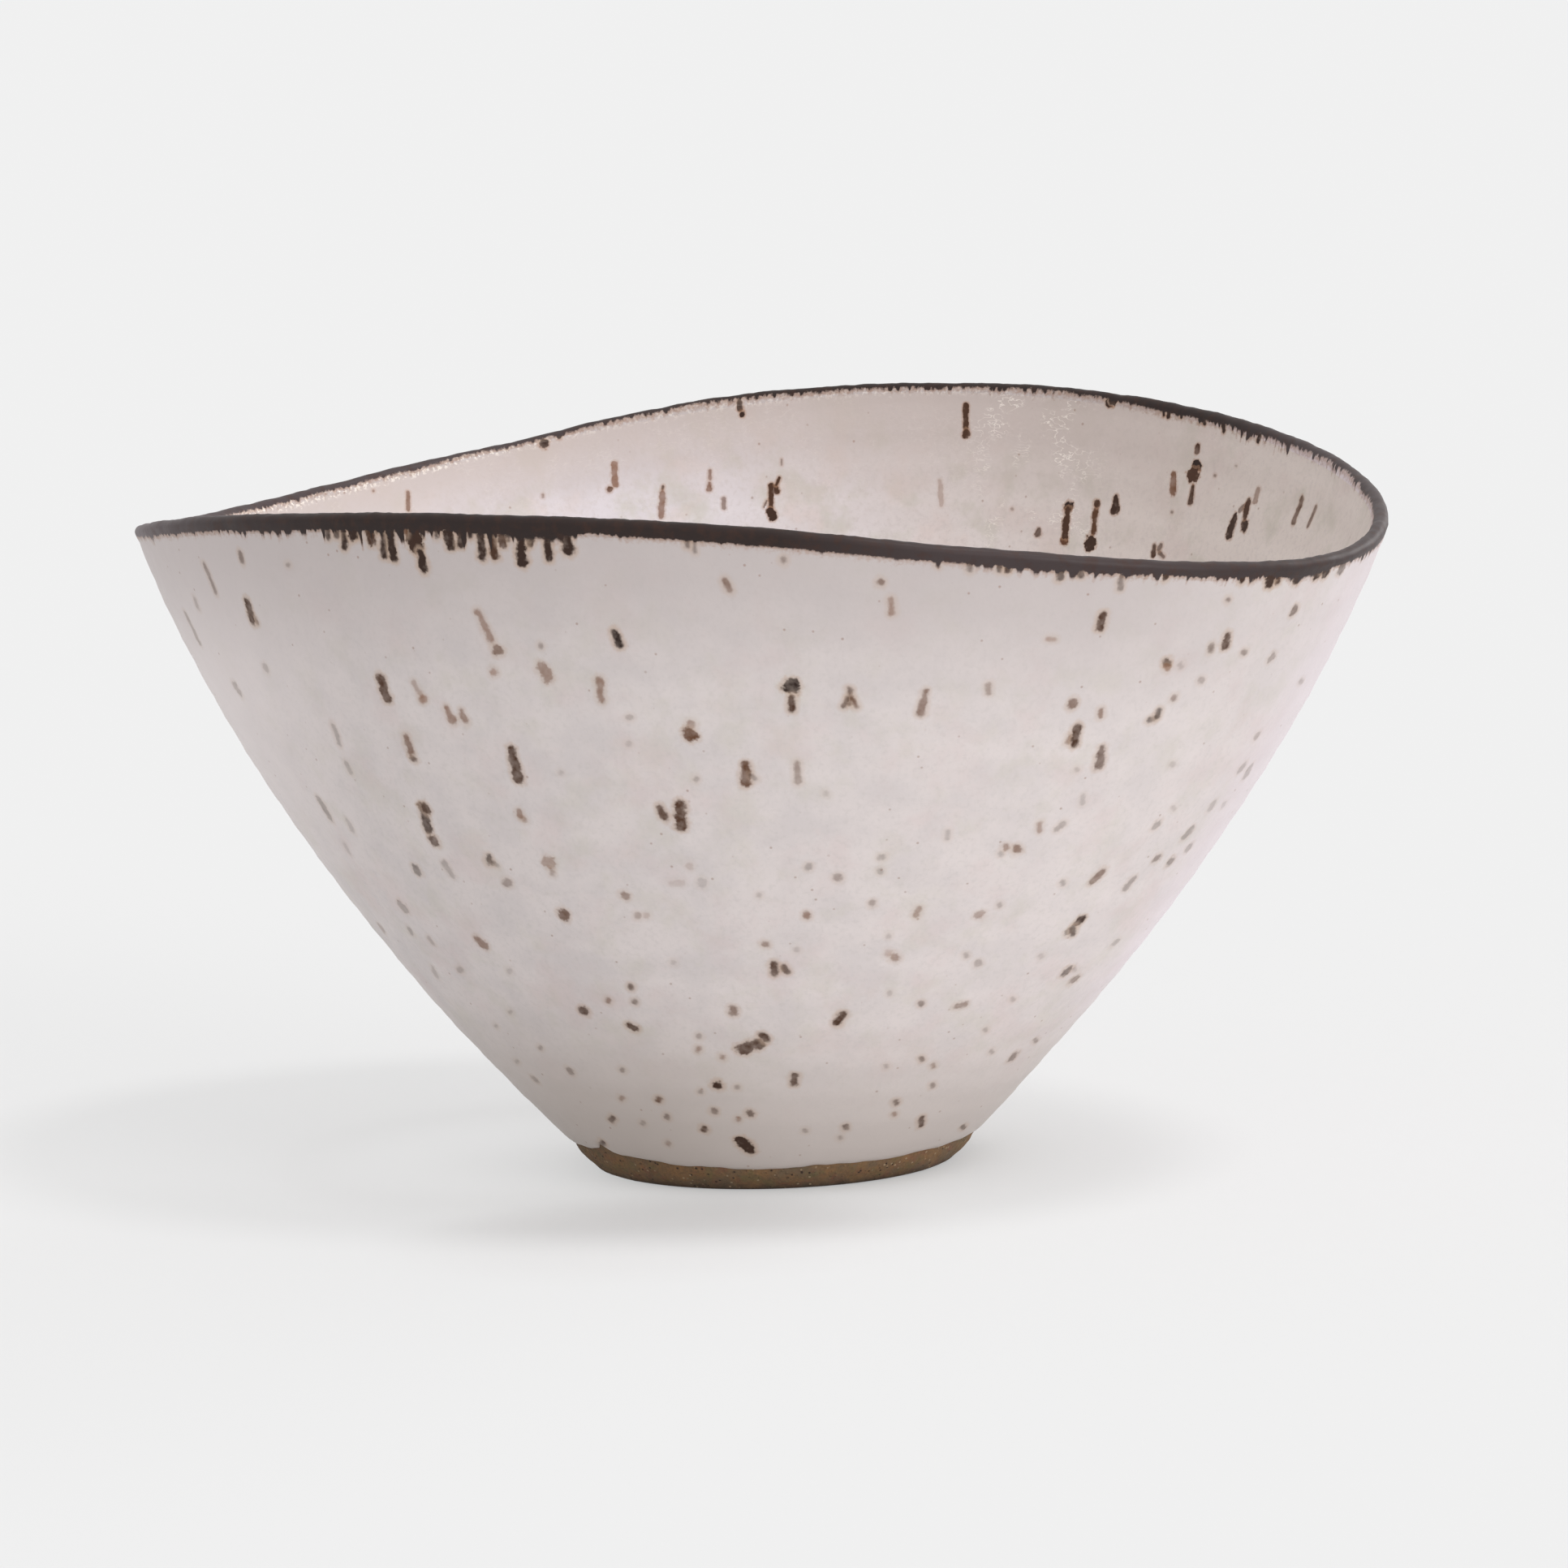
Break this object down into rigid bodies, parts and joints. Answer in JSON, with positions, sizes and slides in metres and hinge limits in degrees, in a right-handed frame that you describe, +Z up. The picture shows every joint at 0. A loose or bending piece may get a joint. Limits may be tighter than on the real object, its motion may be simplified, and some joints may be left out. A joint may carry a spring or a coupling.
{
  "type": "stoneware bowl",
  "caption": "Conical stoneware bowl squeezed to an oval, with a saddle-shaped dark rim, speckled pale glaze and a small bare clay foot.",
  "frame": {"origin": "on the ground under the middle of the foot", "axes": "+Z up, +X along the oval's long axis"},
  "size_m": [0.2196, 0.1761, 0.1242],
  "materials": {
    "bare_clay": "bare, gritty fired stoneware",
    "outer_glaze": "satin pinkish white glaze with brown iron specks",
    "inner_glaze": "satin warm white glaze with brown iron specks",
    "rim_oxide": "dark brown to black oxide glaze that runs a little into the white"
  },
  "bodies": {
    "root": {"stoneware_body": "bare_clay", "outer_glaze": "outer_glaze", "inner_glaze": "inner_glaze", "rim_band": "rim_oxide"}
  },
  "joints": []
}
